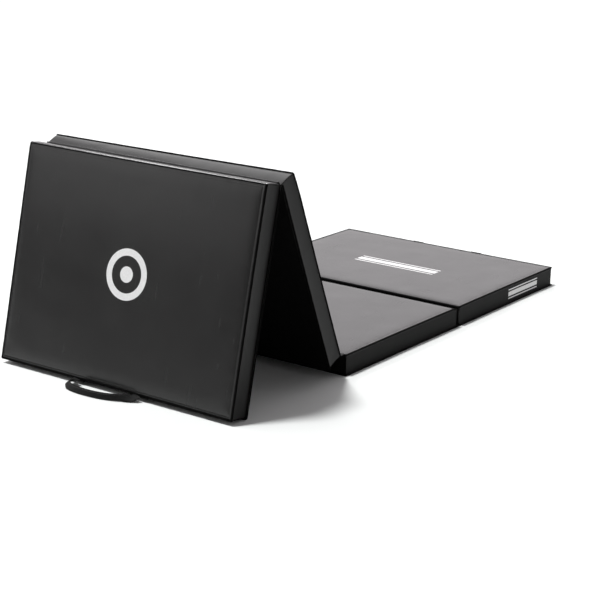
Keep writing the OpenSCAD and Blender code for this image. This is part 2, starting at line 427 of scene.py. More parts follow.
def baked(piece, *kinds):
    """Adds modifiers of these kinds and their settings, and applies them to the mesh."""
    for kind, settings in kinds:
        modifier = piece.modifiers.new(kind.lower(), kind)
        for key, value in settings.items():
            setattr(modifier, key, value)
    graph = bpy.context.evaluated_depsgraph_get()
    mesh = bpy.data.meshes.new_from_object(piece.evaluated_get(graph))
    old = piece.data
    piece.modifiers.clear()
    piece.data = mesh
    mesh.name = piece.name
    bpy.data.meshes.remove(old)
    return piece


SMOOTHER = ("SUBSURF", {"levels": 1, "render_levels": 1})


def thickness(depth):
    return ("SOLIDIFY", {"thickness": depth, "offset": -1.0, "use_even_offset": False})


def quads(rows, columns, ring=False, tube=False):
    """Faces of a grid of points, closed round its columns (ring) or its rows (tube)."""
    faces = []
    for r in range(rows if tube else rows - 1):
        for c in range(columns if ring else columns - 1):
            a = r * columns + c
            b = r * columns + (c + 1) % columns
            up = ((r + 1) % rows) * columns
            faces.append((a, b, up + (c + 1) % columns, up + c))
    return faces


def rod_faces(rows, sides, start=0):
    """Faces of a rod made of rings of points, with a face over each end."""
    last = (rows - 1) * sides
    faces = quads(rows, sides, ring=True)
    faces += [tuple(reversed(range(sides))), tuple(last + k for k in range(sides))]
    return [tuple(start + v for v in face) for face in faces]


def ripple(x, y, seed, size):
    """Smooth noise from about -1 to 1, the same each run."""
    return noise.noise(Vector((x / size + 17.3 * seed, y / size - 9.1 * seed, 3.7 * seed)))


def pulled(points):
    """Draws the middle of the front side and of the ends in a little between the corners."""
    p = np.array(points, float)
    along = np.clip(p[:, 0] / LENGTH, 0, 1)
    across = np.clip(p[:, 1] / WIDTH + 0.5, 0, 1)
    front = np.clip(-p[:, 1] / HALF_W, 0, 1.2)
    ends = np.clip(2 * p[:, 0] / LENGTH - 1, -1.2, 1.2)
    p[:, 1] += PULL * np.sin(np.pi * along) * front
    p[:, 0] -= PULL * np.sin(np.pi * across) * ends
    return p


def settled(i, points):
    """Sinks the upper edge at panel i's open end, where the fold pinches the cover, and lets the end that
    panel 1 stands on give towards the floor."""
    front, rear, reach = SINK[i]
    p = np.array(points, float)
    across = np.clip(p[:, 1] / WIDTH + 0.5, 0, 1)
    close = np.clip(1 - (LENGTH - p[:, 0]) / reach, 0, 1.1)
    high = np.clip((p[:, 2] / THICK - 0.64) / 0.3, 0, 1)
    p[:, 2] -= (front + (rear - front) * across) * close ** 2 * high
    if i == 1:
        near_end = np.exp(-np.maximum(p[:, 0], 0) / (25 * MM))
        p[:, 0] -= STAND * np.clip(p[:, 2] / THICK, 0, 1) * near_end
    return p


def part_of(node_name=None):
    """Hides the CAD node that a piece replaces, where there is one."""
    if node_name is not None:
        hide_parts(node_name)


def on_panel(piece, i, node_name=None):
    set_points(piece, settled(i, [v.co for v in piece.data.vertices]))
    put_on(piece, PANEL[i], f"panel_{i}")
    part_of(node_name)


def graded(length, edge, step):
    """Positions from 0 to length: the edge distances at both ends and even steps between."""
    middle = length - 2 * edge[-1]
    count = max(1, round(middle / step))
    inner = [edge[-1] + middle * k / count for k in range(1, count)]
    return list(edge) + inner + [length - e for e in reversed(edge)]


def rounded_corner(x, y):
    """Takes a place on the panel's rectangle to the rounded one, ring by ring."""
    qx = CORNER - min(x, LENGTH - x)
    qy = CORNER - min(y + HALF_W, HALF_W - y)
    if qx <= 0 or qy <= 0:
        return x, y
    shrink = 1 - max(qx, qy) / math.hypot(qx, qy)
    return (x + math.copysign(qx * shrink, LENGTH / 2 - x), y + math.copysign(qy * shrink, -y))


def rim_distance(x, y):
    return min(x, LENGTH - x, y + HALF_W, HALF_W - y)


def rim_corner(point):
    """Distance from a place on the outline to the nearest corner."""
    return math.hypot(min(point.x, LENGTH - point.x), HALF_W - abs(point.y))


def outline(step, inset=0.0, open_end=False):
    """The panel's rounded outline as points, outward normals and run lengths. It starts in the open
    end's corner and goes round the front, the closed end and the rear. open_end leaves out the open end."""
    radius = CORNER - inset
    tip = 0.5 * MM if open_end else inset + radius
    near, far, side = inset + radius, LENGTH - inset - radius, HALF_W - inset - radius
    corners = [((far, -side), -90), ((near, -side), -90), ((near, side), 180), ((far, side), 90)]
    points, normals = [], []

    def straight(a, b, normal):
        count = max(1, round((Vector(b) - Vector(a)).length / step))
        for k in range(count + (1 if open_end and normal == (0, 1) else 0)):
            points.append(Vector(a).lerp(Vector(b), k / count))
            normals.append(Vector(normal))

    def arc(centre, start):
        for k in range(5):
            angle = math.radians(start - 90 * k / 5)
            normal = Vector((math.cos(angle), math.sin(angle)))
            points.append(Vector(centre) + radius * normal)
            normals.append(normal)

    straight((LENGTH - tip, -side - radius), (near, -side - radius), (0, -1))
    arc(corners[1][0], -90)
    straight((near - radius, -side), (near - radius, side), (-1, 0))
    arc(corners[2][0], 180)
    straight((near, side + radius), (LENGTH - tip, side + radius), (0, 1))
    if not open_end:
        arc(corners[3][0], 90)
        straight((far + radius, side), (far + radius, -side), (1, 0))
        arc(corners[0][0], 0)
    runs = [0.0]
    for a, b in zip(points, points[1:]):
        runs.append(runs[-1] + (b - a).length)
    return points, normals, runs


def swept(name, path, profile, look, closed=True, wobble=0.0, seed=0):
    """A profile of (out, z) points carried round an outline, with a small waver."""
    points, places = [], []
    for p, n, run in zip(*path):
        for out, z in profile:
            waver = wobble * ripple(run, z * 3, seed, 14 * MM)
            q = p + n * (out + waver)
            points.append((q.x, q.y, z + 0.4 * waver * (z > 1.5 * MM)))
            places.append((run, out + z, z))
    rows, columns = len(path[0]), len(profile)
    faces = quads(rows, columns, ring=True, tube=True) if closed else rod_faces(rows, columns)
    return new_piece(name, pulled(points), faces, look, places)


def even_places(points, normals, pitch, closed):
    """Places every pitch along a line of points, with the direction and the normal there."""
    line = [Vector(p) for p in points] + ([Vector(points[0])] if closed else [])
    outs = [Vector(n) for n in normals] + ([Vector(normals[0])] if closed else [])
    lengths = [(b - a).length for a, b in zip(line, line[1:])]
    total = sum(lengths)
    count = int(total / pitch)
    found, k, passed = [], 0, 0.0
    for n in range(count):
        want = (n + 0.5) * total / count
        while passed + lengths[k] < want:
            passed += lengths[k]
            k += 1
        t = (want - passed) / lengths[k]
        found.append((line[k].lerp(line[k + 1], t), (line[k + 1] - line[k]).normalized(),
                      outs[k].lerp(outs[k + 1], t).normalized()))
    return found


def stitches(name, places, length, radius, look, lean=0.0):
    """A row of short sewn threads, each a low arc that dips into the cloth at both ends."""
    points, faces, flat = [], [], []
    sides, rings = 6, (-0.5, -0.32, 0.0, 0.32, 0.5)
    for number, (centre, along, out) in enumerate(places):
        across = along.cross(out)
        run = (along + across * lean * (1 if number % 2 else -1)).normalized()
        start = len(points)
        for t in rings:
            lift = radius * (0.55 - 4.2 * t * t)
            size = radius * (1 - 2.2 * t * t)
            for k in range(sides):
                angle = 2 * math.pi * k / sides
                points.append(centre + run * length * t + out * (lift + size * math.sin(angle))
                              + across * size * math.cos(angle))
                flat.append((number * length + t * length, angle * radius, 0))
        faces += rod_faces(len(rings), sides, start)
    return new_piece(name, points, faces, look, flat)


def solid_block(name, lo, hi, radius, step, look, bend=None):
    """A block with rounded edges, made of a fine grid over its six faces."""
    size = [h - l for l, h in zip(lo, hi)]
    edge = [0.0, radius * 0.35, radius]
    lines = [graded(s, edge if s > 2.2 * radius else [0.0], step) for s in size]
    index, points, faces = {}, [], []

    def vertex(key):
        if key not in index:
            index[key] = len(points)
            p = [lines[a][key[a]] for a in range(3)]
            core = [min(max(v, min(radius, s / 2)), s - min(radius, s / 2)) for v, s in zip(p, size)]
            away = Vector(p) - Vector(core)
            if away.length > 0:
                away = away * (max(map(abs, away)) / away.length)
            points.append(Vector(lo) + Vector(core) + away)
        return index[key]

    for axis in range(3):
        u, v = (axis + 1) % 3, (axis + 2) % 3
        for end in (0, len(lines[axis]) - 1):
            for a in range(len(lines[u]) - 1):
                for b in range(len(lines[v]) - 1):
                    loop = [(a, b), (a + 1, b), (a + 1, b + 1), (a, b + 1)]
                    keys = []
                    for m, n in loop if end else reversed(loop):
                        key = [0, 0, 0]
                        key[axis], key[u], key[v] = end, m, n
                        keys.append(vertex(tuple(key)))
                    faces.append(tuple(keys))
    if bend is not None:
        points = [bend(p) for p in points]
    return new_piece(name, points, faces, look)


# ---------------------------------------------------------------- cloth

CLOTH_FRAMES = 20
CLOTH_SETTINGS = {
    "quality": 6, "mass": 0.3, "tension_stiffness": 25, "compression_stiffness": 25, "shear_stiffness": 8,
    "bending_stiffness": 0.4, "air_damping": 1.5, "use_pressure": True, "uniform_pressure_force": 4.0,
    "vertex_group_mass": "pin",
}


def inflate(piece, pinned, cap):
    """Lets air lift the cloth off its pinned places, and keeps each point's move under the cap."""
    start = np.array([v.co for v in piece.data.vertices])
    group = piece.vertex_groups.new(name="pin")
    group.add([k for k, fixed in enumerate(pinned) if fixed], 1.0, "REPLACE")
    cloth = piece.modifiers.new("cloth", "CLOTH")
    for key, value in CLOTH_SETTINGS.items():
        setattr(cloth.settings, key, value)
    cloth.settings.effector_weights.gravity = 0
    cloth.point_cache.frame_start = 1
    cloth.point_cache.frame_end = CLOTH_FRAMES
    for number in range(1, CLOTH_FRAMES + 1):
        bpy.context.scene.frame_set(number)
    graph = bpy.context.evaluated_depsgraph_get()
    moved = np.array([v.co for v in piece.evaluated_get(graph).data.vertices])
    piece.modifiers.clear()
    bpy.context.scene.frame_set(1)
    step = moved - start
    size = np.linalg.norm(step, axis=1, keepdims=True)
    step *= cap * np.tanh(size / cap) / np.maximum(size, 1e-9)
    return start + step


def set_points(piece, points):
    piece.data.vertices.foreach_set("co", np.asarray(points, np.float32).ravel())
    piece.data.update()


# ---------------------------------------------------------------- panels

RIM = [d * MM for d in (0, 0.7, 1.7, 3.0, 4.4, 5.6, 6.5, 7.4, 9.0, 12.0, 17.0)]


def top_height(distance):
    """Height of the top sheet by its distance from the rim: a rounded edge, then a stitched groove."""
    t = min(distance / RIM_REACH, 1)
    level = TOP_LEVEL - RIM_DROP * (1 - math.sqrt(1 - (1 - t) ** 2))
    return level - GROOVE_DEEP * math.exp(-((distance - GROOVE_AT) / (1.0 * MM)) ** 2)


def sheet_grid(edge, step):
    """A panel's rounded rectangle as a grid of (x, y, distance from the rim), and the faces between."""
    xs, ys = graded(LENGTH, edge, step), graded(WIDTH, edge, step)
    spots = [(*rounded_corner(x, y - HALF_W), rim_distance(x, y - HALF_W)) for y in ys for x in xs]
    return spots, quads(len(ys), len(xs))


def top_sheet(i):
    """The playing surface: swollen by the foam, held down at its stitched rim."""
    spots, faces = sheet_grid(RIM, 10 * MM)
    points, places, pinned = [], [], []
    for x, y, distance in spots:
        free = max(0, min(1, (distance - 10 * MM) / (30 * MM)))
        lift = 0.35 * MM * free * ripple(x, y, i, 90 * MM)
        points.append((x, y, top_height(distance) + lift))
        places.append((x, y, THICK))
        pinned.append(distance < 8 * MM)
    look = {1: "top_ring", 4: "top_stripes"}.get(i, "top_plain")
    piece = new_piece(f"top_sheet_{i}", pulled(points), faces, look, places)
    set_points(piece, inflate(piece, pinned, CROWN_CAP))
    moved = []
    for vertex in piece.data.vertices:
        p = vertex.co
        distance = max(rim_distance(p.x, p.y), 0)
        fade = math.exp(-distance / (22 * MM)) * min(distance / (6 * MM), 1)
        along = p.x if abs(p.y) > HALF_W - distance - 2 * MM else p.y
        pucker = 0.45 * MM * fade * ripple(along, distance * 0.35, i + 5, 13 * MM)
        soft = 0.14 * MM * (1 - math.exp(-distance / (60 * MM))) * ripple(p.x, p.y * 0.6, i + 9, 55 * MM)
        moved.append((p.x, p.y, min(p.z + pucker + soft, THICK - 0.15 * MM)))
    set_points(piece, moved)
    baked(piece, SMOOTHER, thickness(CLOTH))
    on_panel(piece, i, f"top_cover_{i}")


def side_pull(i, point, normal, z):
    """How far the side band sinks in at a height: between its seams, but not under the zip."""
    share = (z - 1.5 * MM) / (THICK - 4.5 * MM)
    belly = math.sin(math.pi * max(0, min(1, share)))
    if normal.y > 0.5:
        return 0.0
    if normal.x > 0.5:
        return -belly * (SWELL[i] + 0.4 * MM * ripple(point.y, z, i + 30, 30 * MM))
    if normal.x < -0.5 and i in (1, 4):
        low = math.sin(math.pi * max(0, min(1, z / (21 * MM))))
        return 1.5 * MM * low
    crease = ripple(point.x + point.y, z * 0.25, i + 20, 11 * MM)
    near_corner = math.exp(-rim_corner(point) / (28 * MM))
    return belly * (0.9 * MM + 0.45 * MM * crease * near_corner
                    + 0.35 * MM * ripple(point.x, point.y + z, i + 30, 45 * MM))


def side_sheet(i):
    path = outline(7 * MM)
    heights = [z * MM for z in (0.9, 2.2, 4.5, 9, 15, 22, 29, 36, 40.5, 42.6, 43.6)]
    points, places = [], []
    for p, n, _ in zip(*path):
        for z in heights:
            q = p - n * side_pull(i, p, n, z)
            points.append((q.x, q.y, z))
            places.append((q.x, q.y, z))
    faces = [tuple(reversed(f)) for f in quads(len(path[0]), len(heights), tube=True)]
    # Panels 3 and 4 take the darker, duller copy of the side vinyl: painted shade on their sides
    look = {3: "side_painted_shade", 4: "side_stripes"}.get(i, "side_plain")
    piece = new_piece(f"side_sheet_{i}", pulled(points), faces, look, places)
    piece.data.flip_normals()
    baked(piece, SMOOTHER, thickness(CLOTH))
    # The open end's face has the top's finish, and the closed end's face the darker, duller copy of the
    # side vinyl: painted shade
    piece.data.materials.append(LOOK["top_plain"])
    piece.data.materials.append(LOOK["side_painted_shade"])
    for face in piece.data.polygons:
        if face.normal.x > 0.8:
            face.material_index = 1
        elif face.normal.x < -0.8:
            face.material_index = 2
    on_panel(piece, i, f"side_band_{i}")


def base_sheet(i):
    spots, faces = sheet_grid([0, 1 * MM, 2.5 * MM, 6 * MM], 12 * MM)
    points, places = [], []
    for x, y, distance in spots:
        free = min(distance / (30 * MM), 1)
        slack = 0.2 * MM * free * (1 + ripple(x, y, i + 40, 50 * MM))
        points.append((x, y, 0.7 * MM * max(0, 1 - distance / (2 * MM)) ** 2 + slack))
        places.append((x, y, 0))
    faces = [tuple(reversed(f)) for f in faces]
    piece = new_piece(f"base_sheet_{i}", pulled(points), faces, "base", places)
    baked(piece, thickness(CLOTH))
    on_panel(piece, i, f"base_cover_{i}")


def foam_board(i):
    inset = 2.6 * MM
    piece = solid_block(f"foam_board_{i}", (inset, -HALF_W + inset, 1.8 * MM),
                        (LENGTH - inset, HALF_W - inset, TOP_LEVEL - 2 * MM), 4 * MM, 40 * MM, "foam")
    on_panel(piece, i, f"foam_core_{i}")


def top_seam(i):
    """The top seam: the top sheet's folded edge over the side band's, both standing out round the panel."""
    low, high, out = ridge_lo.z, ridge_hi.z, RIDGE_OUT
    upper = [(-1.2 * MM, low + 0.75 * MM), (out * 0.8, low + 0.6 * MM), (out * 0.97, low + 0.75 * MM),
             (out, low + 1.0 * MM), (out * 0.92, low + 1.25 * MM), (out * 0.5, low + 1.9 * MM),
             (out * 0.1, high - 0.1 * MM), (-0.5 * MM, high), (-2.6 * MM, high - 0.3 * MM),
             (-2.9 * MM, high - 0.75 * MM)]
    lower = [(-1.2 * MM, low), (out * 0.6, low), (out * 0.88, low + 0.1 * MM),
             (out * 0.92, low + 0.35 * MM), (out * 0.8, low + 0.52 * MM), (-1.2 * MM, low + 0.6 * MM)]
    for name, profile, node_name in (("top_ridge", upper, f"top_seam_{i}"), ("side_ridge", lower, None)):
        piece = swept(f"{name}_{i}", outline(4 * MM), profile, "seam", wobble=0.22 * MM, seed=i + 50)
        piece.data.flip_normals()
        if i == 1:
            piece.data.materials.append(LOOK["edge"])
            for face in piece.data.polygons:
                if face.center.x > LENGTH - MM:
                    face.material_index = 1
        on_panel(piece, i, node_name)


def base_flange(i):
    """The base seam: a flat sewn flange, open at the end where a fold strip joins the panel."""
    out, high = FLANGE_OUT, flange_hi.z
    profile = [(-1.2 * MM, 0.05 * MM), (out * 0.9, 0.0), (out, high * 0.2), (out, high * 0.38),
               (out * 0.9, high * 0.5), (out, high * 0.62), (out, high * 0.8), (out * 0.9, high),
               (-1.2 * MM, high)]
    piece = swept(f"base_flange_{i}", outline(4 * MM, open_end=True), profile, "seam",
                  closed=False, wobble=0.3 * MM, seed=i + 60)
    piece.data.flip_normals()
    on_panel(piece, i, f"base_seam_{i}")


def corner_seams(i):
    """Piping up each corner, where two lengths of the side band meet."""
    sides, at = 8, 0.8 * MM
    heights = [z * MM for z in (1.5, 2.5, 6, 12, 18, 23, 28, 34, 39, 42.5, 43.5)]
    points, faces = [], []
    for x in (at, LENGTH - at):
        for y in (at - HALF_W, HALF_W - at):
            start = len(points)
            for k, z in enumerate(heights):
                thick = 1.05 * MM * (0.5 if k in (0, len(heights) - 1) else 1)
                drawn = 0.5 * MM * math.sin(math.pi * z / THICK)
                for s in range(sides):
                    angle = 2 * math.pi * s / sides
                    points.append((x + thick * math.cos(angle),
                                   y * (1 - drawn / HALF_W) + thick * math.sin(angle), z))
            faces += rod_faces(len(heights), sides, start)
    on_panel(new_piece(f"corner_seams_{i}", pulled(points), faces, "seam"), i)


def seam_stitches(i):
    """Thread along the top sheet's groove, the side band under the top seam, and the base flange."""
    pitch, up = 5.2 * MM, Vector((0, 0, 1))
    side_at, flange_at = 40.2 * MM, 2.2 * MM

    def line(path, z, out):
        return pulled([(*(p + n * out(p, n)), z) for p, n, _ in zip(*path)])

    groove = outline(4 * MM, inset=GROOVE_AT)
    top = line(groove, TOP_LEVEL - GROOVE_DEEP, lambda p, n: 0)
    whole = outline(4 * MM)
    side = line(whole, side_at, lambda p, n: -side_pull(i, p, n, side_at))
    sewn = outline(4 * MM, open_end=True)
    base = line(sewn, flange_hi.z, lambda p, n: flange_at)
    rows = (("top", top, [up] * len(top), True),
            ("side", side, [Vector((*n, 0)) for n in whole[1]], True),
            ("base", base, [up] * len(base), False))
    for kind, points, normals, closed in rows:
        places = even_places(points, normals, pitch, closed)
        on_panel(stitches(f"{kind}_stitches_{i}", places, 3.9 * MM, 0.28 * MM, "thread"), i)


# ---------------------------------------------------------------- fold strips

def cloth_strip(name, section, look, depth, seed, inset):
    """A strip across the mat: a section of (x, z) points, run along Y with small waves."""
    half = HALF_W - inset
    count = round(2 * half / (7 * MM))
    centre_y = PANEL[3].translation.y
    line = [Vector((x, 0, z)) for x, z in section]
    runs = [0.0]
    for a, b in zip(line, line[1:]):
        runs.append(runs[-1] + (b - a).length)
    points, places = [], []
    for r in range(count + 1):
        y = -half + 2 * half * r / count
        for k, p in enumerate(line):
            free = math.sin(math.pi * k / (len(line) - 1))
            waver = 0.25 * MM * free * ripple(y, runs[k] * 2, seed, 16 * MM)
            points.append((p.x, y + centre_y, p.z + waver))
            places.append((runs[k], y, 0))
    piece = new_piece(name, points, quads(count + 1, len(line)), look, places)
    return baked(piece, SMOOTHER, thickness(depth))


def curve_through(points, steps=6):
    """Catmull-Rom points through a list of 2-D or 3-D points."""
    p = [Vector(q) for q in points]
    p = [2 * p[0] - p[1]] + p + [2 * p[-1] - p[-2]]
    found = []
    for a, b, c, d in zip(p, p[1:], p[2:], p[3:]):
        for k in range(steps):
            t = k / steps
            found.append(0.5 * ((2 * b) + (c - a) * t + (2 * a - 5 * b + 4 * c - d) * t * t
                                + (3 * b - a - 3 * c + d) * t ** 3))
    found.append(p[-2])
    return found


def spot(i, x, z):
    """A place on panel i's middle line, given in its own frame."""
    return tuple(PANEL[i] @ Vector((x, 0, z)))


def fold_strip(name, node_name, section, look, depth, seed, over=-STRIP_INSET):
    """A strip sewn to two panels, blended between them, that stands over (or in from) their corners."""
    line = [(place[0], place[-1]) for place in section]
    strip = cloth_strip(name, curve_through(line), look, depth, seed, -over)
    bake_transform(strip)
    part_of(node_name)


def fold_strips():
    round_23 = [spot(3, 1.0 * MM, 44.6 * MM), spot(3, -3 * MM, 44.9 * MM), spot(3, -9 * MM, 44.5 * MM),
                spot(3, -15 * MM, 44.9 * MM), spot(2, -1.6 * MM, 45.4 * MM), spot(2, 0.8 * MM, 44.8 * MM)]
    fold_strip("fold_strip_23", "hinge_strip_23", round_23, "side_plain", 0.8 * MM, 71)

    axis = Vector(JOINTS["fold_12"]["pos_m"])
    inner, edge, low = LENGTH - 4 * MM, LENGTH + 0.2 * MM, 0.7 * MM
    round_12 = [spot(2, inner, low), spot(2, edge, low), (axis.x, axis.z + 2.2 * MM),
                spot(1, edge, low), spot(1, inner, low)]
    fold_strip("fold_strip_12", "hinge_strip_12", round_12, "top_plain", 0.7 * MM, 72)

    gap = PANEL[4].translation.x - LENGTH - PANEL[3].translation.x - LENGTH
    far = LENGTH + gap
    flat_34 = [spot(3, LENGTH - 3 * MM, 1.2 * MM), spot(3, LENGTH, 1.0 * MM),
               spot(3, LENGTH + gap / 2, 1.3 * MM), spot(3, far, 1.0 * MM), spot(3, far + 3 * MM, 1.2 * MM)]
    # This strip takes the darker copy of the side vinyl: painted shade in the gap between panels 3 and 4
    fold_strip("fold_strip_34", "hinge_strip_34", flat_34, "side_painted_shade", 0.8 * MM, 73,
               FLANGE_OUT - MM)


# ---------------------------------------------------------------- handles

strap_lo, strap_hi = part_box("handle_strap_1")
sewn_1 = Vector(JOINTS["handle_1_swing"]["pos_m"])
BAND_MIDDLE = (strap_lo.z + strap_hi.z) / 2 - sewn_1.z


def ribbon(name, stations, level=None, steps=7):
    """Webbing through stations of (x, y, z, roll, width, depth) in mm and degrees: roll turns its width
    from level, or from the horizontal, towards upright."""
    path = [Vector(q) * MM for q in curve_through(stations, steps)]
    shape = [(-0.5, -0.3), (-0.46, -0.5), (-0.2, -0.46), (0.2, -0.46), (0.46, -0.5), (0.5, -0.3),
             (0.5, 0.3), (0.46, 0.5), (0.2, 0.46), (-0.2, 0.46), (-0.46, 0.5), (-0.5, 0.3)]
    points, places, edges, run = [], [], [], 0.0
    for k, q in enumerate(path):
        centre = Vector(q[:3])
        ahead = Vector(path[min(k + 1, len(path) - 1)][:3]) - Vector(path[max(k - 1, 0)][:3])
        tangent = ahead.normalized()
        flat = level or Vector((0, 0, 1)).cross(tangent).normalized()
        roll = math.radians(q[3] / MM)
        across = flat * math.cos(roll) + tangent.cross(flat) * math.sin(roll)
        face = tangent.cross(across)
        if k:
            run += (centre - Vector(path[k - 1][:3])).length
        for a, b in shape:
            points.append(centre + across * a * q[4] + face * b * q[5])
            places.append((run, a * q[4], b * q[5]))
        edges.append((centre, across * q[4] / 2, face * q[5] / 2))
    return new_piece(name, points, rod_faces(len(path), len(shape)), "webbing", places), edges


def handle(i, stations, frame_of_loop):
    """The webbing loop on its joint, in the loop's own frame: X out from the sewn line. Its grip is folded
    double and sewn along its lower edge."""
    piece, edges = ribbon(f"handle_loop_{i}", stations)
    put_on(piece, frame_of_loop, f"handle_{i}")
    part_of(f"handle_strap_{i}")
    grip = edges[len(edges) // 4: -len(edges) // 4]
    sewn = []
    for side in (1, -1):
        line = [centre + half * 0.62 + out * side * 1.02 for centre, half, out in grip]
        sewn += even_places(line, [out.normalized() * side for _, _, out in grip], 3.2 * MM, False)
    row = stitches(f"grip_stitches_{i}", sewn, 2.5 * MM, 0.26 * MM, "handle_thread")
    put_on(row, frame_of_loop, f"handle_{i}")
    part_of()


# In mm: half the CAD width of a sewn end, and how far handle 1's front one is moved towards the middle
TAB_HALF = 15
SKEW_1 = 5
# A sewn end's places (out from the end face, up it), in mm
TAB_RUN = ((-0.9, 24.2), (-1.0, 30), (-1.0, 37), (-1.6, 41.5), (-2.9, 43.6), (-3.2, 45.2))
# The box of stitches on it, its corners in mm, and the lines of its sides and its cross
BOX_CORNERS = ((-12, 26), (12, 26), (12, 38), (-12, 38))
BOX_LINES = ((0, 1), (1, 2), (2, 3), (3, 0), (0, 2), (1, 3))


def handle_tabs(i):
    """The webbing's sewn ends: flat on the end face, rising over the top seam to the sewn line."""
    lo, hi = local_box(f"handle_patch_{i}", i)
    reach = (hi.y - lo.y) / 2 / MM - TAB_HALF
    front = -reach + (SKEW_1 if i == 1 else 0)
    for label, middle, node_name in (("front", front, f"handle_patch_{i}"), ("rear", reach, None)):
        stations = [(x, middle, z, 0, 29, 1.3) for x, z in TAB_RUN]
        tab, _ = ribbon(f"handle_tab_{label}_{i}", stations, Vector((0, 1, 0)), 5)
        on_panel(tab, i, node_name)
        sewn = []
        corners = [Vector((-1.75, middle + y, z)) * MM for y, z in BOX_CORNERS]
        for start, stop in BOX_LINES:
            ends = [corners[start], corners[stop]]
            sewn += even_places(ends, [Vector((-1, 0, 0))] * 2, 3.0 * MM, False)
        row = stitches(f"tab_stitches_{label}_{i}", sewn, 2.4 * MM, 0.3 * MM, "handle_thread")
        on_panel(row, i)


HANDLE_4_DROOP = 45
# The floor under handle 1 in its loop's own frame, in mm
FLOOR_1 = -sewn_1.z / MM


def loop_frame(i):
    """A handle's own frame at rest, from its joint: X out of the end, Z the webbing's width."""
    pos = Matrix.Translation(Vector(JOINTS[f"handle_{i}_swing"]["pos_m"]))
    if i == 1:
        return pos @ Matrix.Diagonal((-1, 1, 1, 1))
    return pos @ Matrix.Rotation(math.radians(HANDLE_4_DROOP), 4, "Y")


def handles():
    low = FLOOR_1 + 7.4
    skewed = [(3.2, -72, -0.6, 2, 22, 1.8), (7, -71, -2.2, 12, 20, 2), (14, -64, -5.5, 34, 18, 2.6),
              (25, -48, low + 0.5, 62, 14.5, 3.2), (35.5, -26, low, 78, 13.5, 3.4),
              (41.5, -2, low, 82, 13.5, 3.4), (44, 26, low, 82, 13.5, 3.4),
              (42.5, 54, low, 78, 14.5, 3.4), (36, 77, low, 66, 16, 3),
              (26, 86, low + 3, 40, 20, 2.6), (14, 87, -2, 16, 24, 2), (7, 86, -1.2, 4, 26, 1.8),
              (3.2, 85, -0.6, 2, 26, 1.8)]
    middle = BAND_MIDDLE / MM
    front_half = [(1.5, -82, -0.4, 2, 27, 1.8), (6, -83, -1.2, 8, 26, 2), (13, -84, middle, 45, 20, 2.6),
                  (24, -81, middle, 84, 16, 3.2), (31, -70, middle, 90, 15, 3.4),
                  (33, -40, middle, 90, 15, 3.4)]
    rear_half = [(out, -y, *rest) for out, y, *rest in reversed(front_half)]
    even = front_half + [(33.2, 0, middle, 90, 15, 3.4)] + rear_half
    for i, stations in ((1, skewed), (4, even)):
        handle(i, stations, loop_frame(i))
        handle_tabs(i)


# ---------------------------------------------------------------- zips

def zip_parts(i):
    lo, hi = tape_lo, tape_hi
    middle, slit = (lo.z + hi.z) / 2, 0.3 * MM
    inner, outer = HALF_W - 0.2 * MM, HALF_W + 0.65 * MM
    tapes = (("lower", lo.z, middle - slit, lo.z + 2.2 * MM, f"zip_tape_{i}"),
             ("upper", middle + slit, hi.z, hi.z - 2.2 * MM, None))
    for label, low, high, row_z, node_name in tapes:
        tape = solid_block(f"zip_tape_{label}_{i}", (lo.x, inner, low), (hi.x, outer, high),
                           0.3 * MM, 8 * MM, "zip_tape")
        on_panel(tape, i, node_name)
        ends = [Vector((x, outer, row_z)) for x in (lo.x + 2 * MM, hi.x - 2 * MM)]
        places = even_places(ends, [Vector((0, 1, 0))] * 2, 3.4 * MM, False)
        on_panel(stitches(f"zip_stitches_{label}_{i}", places, 2.6 * MM, 0.22 * MM, "thread"), i)
    on_panel(zip_coil(i, teeth_lo, teeth_hi, middle), i, f"zip_teeth_{i}")


def zip_coil(i, lo, hi, middle):
    """Coil teeth: from each tape in turn, a rounded bar reaches across the middle."""
    pitch, sides = 1.25 * MM, 6
    # Each bar's rings: how far across, how high and how thick
    stations = [(-2.7, 0.2, 0.62), (-2.3, 0.62, 0.9), (-0.6, 0.66, 1.0), (0.9, 0.62, 1.15), (1.4, 0.5, 0.8)]
    base = HALF_W + 0.75 * MM
    high = hi.y - base
    count = int((hi.x - lo.x) / pitch)
    points, faces = [], []
    for k in range(count):
        x = lo.x + (k + 0.5) * (hi.x - lo.x) / count
        way = 1 if k % 2 else -1
        start = len(points)
        for out, level, size in stations:
            for s in range(sides):
                angle = 2 * math.pi * s / sides
                points.append((x + 0.46 * pitch * size * math.cos(angle), base + high * 0.5 * (level + 0.34)
                               + high * 0.36 * size * math.sin(angle), middle + way * out * MM))
        bar = rod_faces(len(stations), sides, start)
        faces += bar if way < 0 else [tuple(reversed(face)) for face in bar]
    return new_piece(f"zip_coil_{i}", points, faces, "teeth")


# ---------------------------------------------------------------- hook and loop strips

def end_strip(node_name, i, kind):
    """Three lengths of tape on an end face, covered with small hooks or loops."""
    lo, hi = local_box(node_name, i)
    leg = local_box(f"handle_patch_{i}", i)[1].y - TAB_HALF * MM
    gap, margin = 20 * MM, 1.6 * MM
    spans = [("front", lo.y, -leg - gap), ("middle", -leg + gap, leg - gap), ("rear", leg + gap, hi.y)]
    for label, start, stop in spans:
        tape = solid_block(f"{kind}_tape_{label}", (-0.75 * MM, start, lo.z), (0.3 * MM, stop, hi.z),
                           0.35 * MM, 9 * MM, "strip_tape", bend=lambda p: Vector(pulled([p])[0]))
        on_panel(tape, i, node_name if label == "front" else None)
        pile = pile_of(f"{kind}_pile_{label}", start + margin, stop - margin, lo.z + margin, hi.z - margin,
                       kind == "hook", i)
        on_panel(pile, i)


# A hook's and a loop's stem in mm: how far along the tape and how high above it
HOOK_STEM = [(0, 0), (0, 0.5), (0.25, 0.82), (0.6, 0.78), (0.8, 0.5)]
LOOP_STEM = [(-0.4, 0), (-0.5, 0.5), (0, 0.85), (0.5, 0.5), (0.4, 0)]


